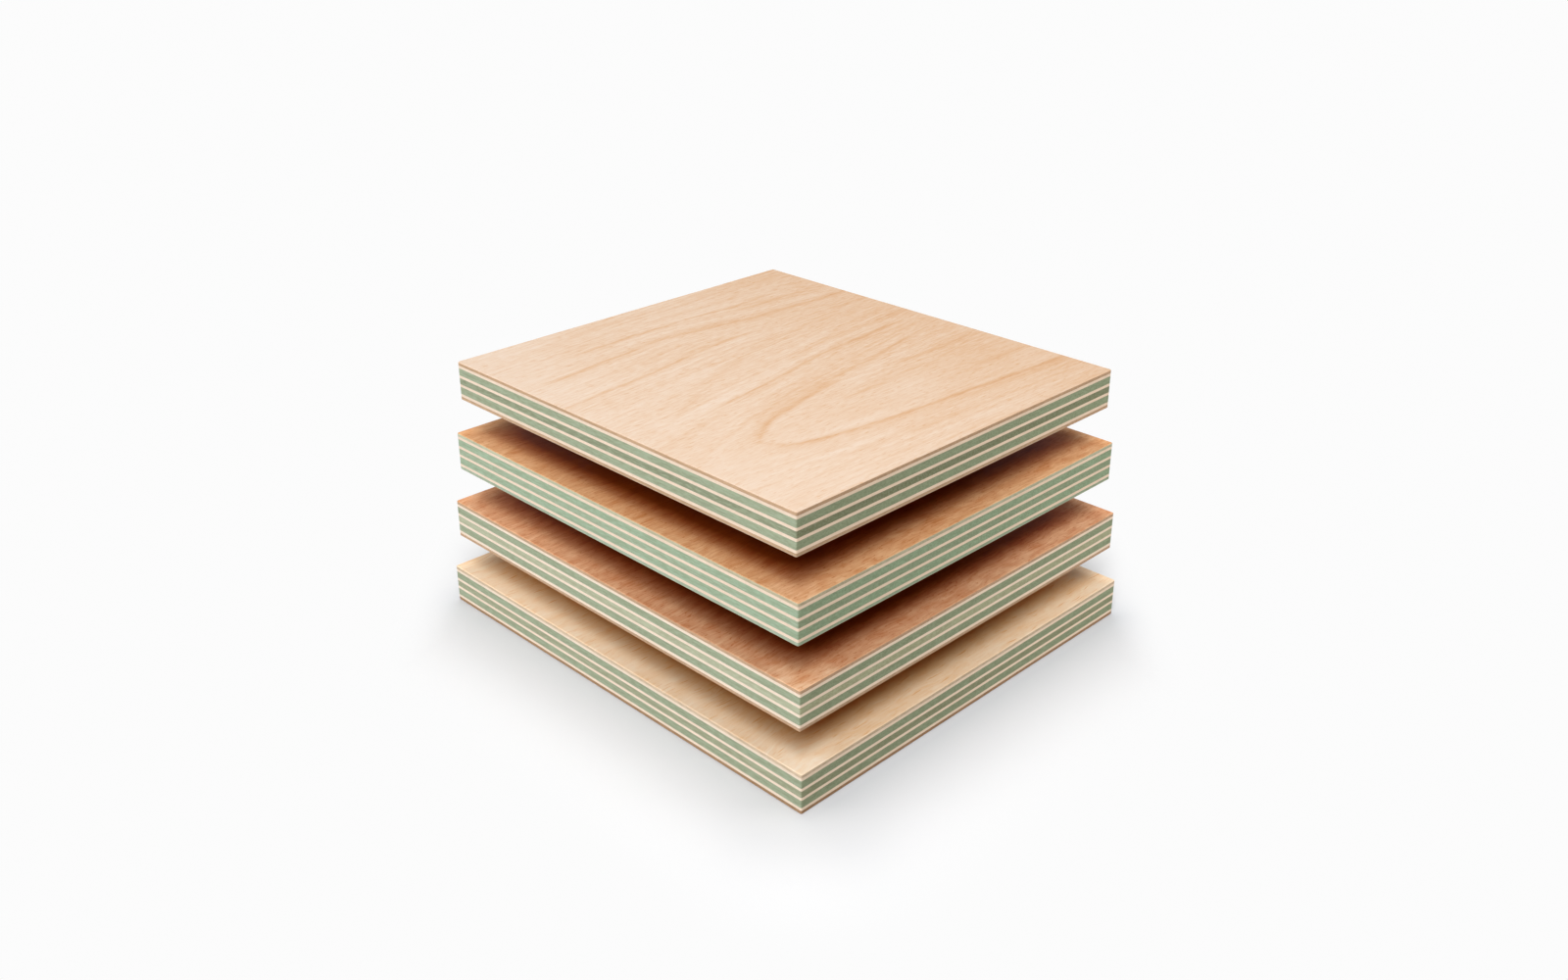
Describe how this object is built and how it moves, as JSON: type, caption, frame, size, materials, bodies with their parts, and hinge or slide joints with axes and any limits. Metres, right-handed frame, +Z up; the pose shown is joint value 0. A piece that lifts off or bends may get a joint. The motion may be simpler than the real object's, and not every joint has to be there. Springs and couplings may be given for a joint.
{
  "type": "stack of plywood sheets",
  "caption": "Stack of near-square plywood sheets with pale and dyed green plies showing on the sawn edges, held apart by short wooden spacers.",
  "frame": {"origin": "middle of the bottom sheet's underside", "axes": "+Z up through the stack, +X along the longer edge and across the face grain, +Y along the face grain"},
  "size_m": [0.228, 0.208, 0.1215],
  "materials": {
    "peach_face": "sanded plain-sliced pale veneer with a cathedral figure",
    "orange_face": "sanded orange-brown veneer with short dark flecks",
    "red_face": "sanded red-brown veneer with short pores",
    "maple_face": "sanded cream veneer with small orange flecks",
    "brown_crossband": "sawn veneer edge",
    "khaki_crossband": "sawn veneer edge",
    "green_crossband": "sawn dyed veneer edge",
    "pale_ply": "sawn edge, end grain ticks",
    "green_ply": "sawn edge of dyed veneer",
    "dark_green_ply": "sawn edge of dyed veneer",
    "olive_ply": "sawn edge of dyed veneer",
    "light_olive_ply": "sawn edge of dyed veneer",
    "pale_back": "sanded",
    "green_back": "sanded",
    "brown_back": "sanded",
    "spacer_wood": "planed"
  },
  "bodies": {
    "root": {"top_sheet_face_veneer": "peach_face", "top_sheet_upper_crossband": "brown_crossband", "top_sheet_pale_ply_1": "pale_ply", "top_sheet_upper_green_ply": "green_ply", "top_sheet_pale_ply_2": "pale_ply", "top_sheet_middle_ply": "dark_green_ply", "top_sheet_pale_ply_3": "pale_ply", "top_sheet_lower_green_ply": "green_ply", "top_sheet_pale_ply_4": "pale_ply", "top_sheet_lower_crossband": "brown_crossband", "top_sheet_back_veneer": "pale_back", "second_sheet_face_veneer": "orange_face", "second_sheet_upper_crossband": "khaki_crossband", "second_sheet_pale_ply_1": "pale_ply", "second_sheet_upper_green_ply": "green_ply", "second_sheet_pale_ply_2": "pale_ply", "second_sheet_middle_ply": "olive_ply", "second_sheet_pale_ply_3": "pale_ply", "second_sheet_lower_green_ply": "green_ply", "second_sheet_pale_ply_4": "pale_ply", "second_sheet_lower_crossband": "green_crossband", "second_sheet_back_veneer": "green_back", "third_sheet_face_veneer": "red_face", "third_sheet_upper_crossband": "brown_crossband", "third_sheet_pale_ply_1": "pale_ply", "third_sheet_upper_green_ply": "green_ply", "third_sheet_pale_ply_2": "pale_ply", "third_sheet_middle_ply": "light_olive_ply", "third_sheet_pale_ply_3": "pale_ply", "third_sheet_lower_green_ply": "green_ply", "third_sheet_pale_ply_4": "pale_ply", "third_sheet_lower_crossband": "brown_crossband", "third_sheet_back_veneer": "pale_back", "bottom_sheet_face_veneer": "maple_face", "bottom_sheet_upper_crossband": "khaki_crossband", "bottom_sheet_pale_ply_1": "pale_ply", "bottom_sheet_upper_green_ply": "green_ply", "bottom_sheet_pale_ply_2": "pale_ply", "bottom_sheet_middle_ply": "olive_ply", "bottom_sheet_pale_ply_3": "pale_ply", "bottom_sheet_lower_green_ply": "green_ply", "bottom_sheet_pale_ply_4": "pale_ply", "bottom_sheet_lower_crossband": "brown_crossband", "bottom_sheet_back_veneer": "brown_back", "front_spacer_under_top_sheet": "spacer_wood", "back_spacer_under_top_sheet": "spacer_wood", "front_spacer_under_second_sheet": "spacer_wood", "back_spacer_under_second_sheet": "spacer_wood", "front_spacer_under_third_sheet": "spacer_wood", "back_spacer_under_third_sheet": "spacer_wood"}
  },
  "joints": []
}
